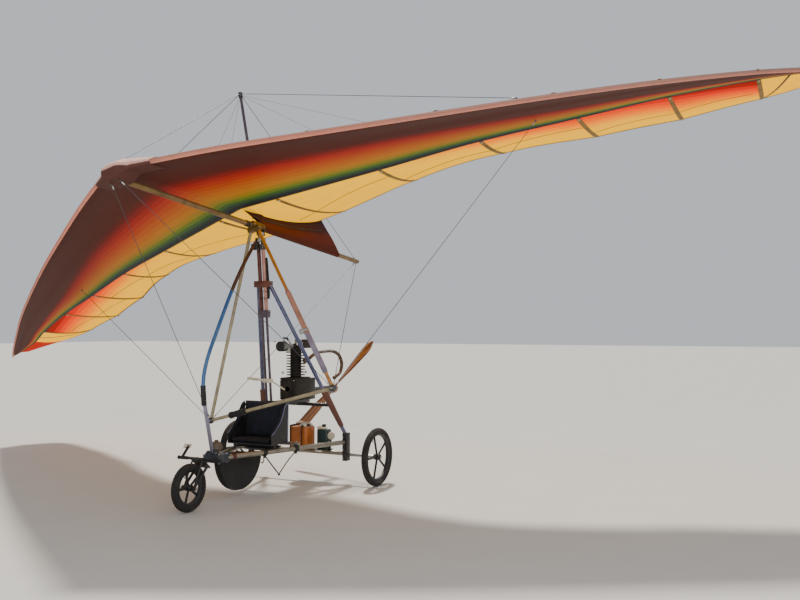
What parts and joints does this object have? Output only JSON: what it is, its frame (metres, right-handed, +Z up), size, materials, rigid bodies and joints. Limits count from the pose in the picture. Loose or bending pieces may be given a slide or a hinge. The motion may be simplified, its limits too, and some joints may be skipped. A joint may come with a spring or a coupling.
{
  "type": "ultralight trike",
  "caption": "Single-seat flex-wing ultralight: pusher trike with a base frame, mast, seat and propeller, hung under a striped hang-glider wing.",
  "frame": {"origin": "on the ground under the middle of the whole machine's box", "axes": "+X to port along the span, +Y aft, +Z up; the nose points to -Y"},
  "size_m": [9.0728, 3.9604, 3.5037],
  "materials": {
    "tyre": "matte worn rubber",
    "wheel": "black moulded wheel",
    "sail": "striped sailcloth, brown to yellow",
    "fin": "maroon sailcloth",
    "seat": "dark blue woven seat cover",
    "bag": "black woven cloth",
    "wood": "varnished laminated wood",
    "beige_tube": "pale beige coated tube",
    "orange_tube": "orange coated tube with a pink-brown pad",
    "blue_tube": "blue coated tube, worn",
    "red_tube": "red-brown coated tube",
    "alloy": "dull aluminium tube",
    "stays": "bare wire rope",
    "tank": "amber translucent plastic",
    "bottle": "off-white plastic",
    "engine": "oily dark castings",
    "dark_metal": "dark painted steel"
  },
  "bodies": {
    "trike": {"axle_stub_port": "dark_metal", "axle_stub_starboard": "dark_metal", "belly_bag": "bag", "carburettor": "alloy", "cylinder": "engine", "cylinder_head": "alloy", "drive_housing": "engine", "engine_block": "engine", "engine_mount": "dark_metal", "exhaust": "alloy", "front_post": "alloy", "front_strut": "blue_tube", "fuel_tank": "tank", "mast_cross_tube": "alloy", "mast_foot": "dark_metal", "mast_head": "dark_metal", "mast_lower": "dark_metal", "mast_upper": "red_tube", "nose_block": "blue_tube", "oil_bottle": "bottle", "rear_corner_port": "dark_metal", "rear_corner_starboard": "dark_metal", "rear_cross_tube": "alloy", "rear_strut_port": "blue_tube", "rear_strut_starboard": "blue_tube", "seat": "seat", "seat_cross_tube": "alloy", "side_tube_port": "alloy", "side_tube_starboard": "alloy", "strut_sleeve": "dark_metal", "tank_tray": "alloy", "throttle_handle": "bottle"},
    "fork": {"foot_bar": "dark_metal", "foot_pedal": "bottle", "fork": "dark_metal"},
    "nose_wheel": {"wheel_nose_mag": "wheel", "wheel_nose_tyre": "tyre"},
    "port_wheel": {"wheel_port_mag": "wheel", "wheel_port_tyre": "tyre"},
    "starboard_wheel": {"wheel_starboard_mag": "wheel", "wheel_starboard_tyre": "tyre"},
    "propeller": {"propeller": "wood", "propeller_shaft": "alloy"},
    "hang_block": {"hang_block": "alloy"},
    "wing": {"base_bar": "beige_tube", "corner_port": "dark_metal", "corner_starboard": "dark_metal", "downtube_port": "orange_tube", "downtube_starboard": "beige_tube", "keel_bracket": "alloy", "keel_fin": "fin", "keel_tube": "beige_tube", "kingpost": "alloy", "nose_plate": "alloy", "sail_port": "sail", "sail_starboard": "sail", "upper_stays": "stays"}
  },
  "joints": [
    {"name": "hang_pitch", "type": "hinge", "parent": "trike", "child": "hang_block", "pos_m": [0.05836, -0.26403, 2.143], "axis": [-1, 0, 0], "range_deg": [-9, 7.5]},
    {"name": "wing_roll", "type": "hinge", "parent": "hang_block", "child": "wing", "pos_m": [0.05836, -0.25868, 2.19472], "axis": [0, 0.9947, -0.1028], "range_deg": [-2.3, 31.7]},
    {"name": "steering", "type": "hinge", "parent": "trike", "child": "fork", "pos_m": [0.05836, -0.95915, 0.37324], "axis": [0, 0.6428, 0.766], "range_deg": [-30, 30]},
    {"name": "nose_wheel_spin", "type": "hinge", "parent": "fork", "child": "nose_wheel", "pos_m": [0.05836, -1.15403, 0.183], "axis": [1, 0, 0], "continuous": true},
    {"name": "port_wheel_spin", "type": "hinge", "parent": "trike", "child": "port_wheel", "pos_m": [0.81836, 0.43597, 0.254], "axis": [1, 0, 0], "continuous": true},
    {"name": "starboard_wheel_spin", "type": "hinge", "parent": "trike", "child": "starboard_wheel", "pos_m": [-0.70164, 0.43597, 0.254], "axis": [1, 0, 0], "continuous": true},
    {"name": "propeller_spin", "type": "hinge", "parent": "trike", "child": "propeller", "pos_m": [0.05836, 0.93597, 0.8], "axis": [0, 1, 0], "continuous": true}
  ]
}
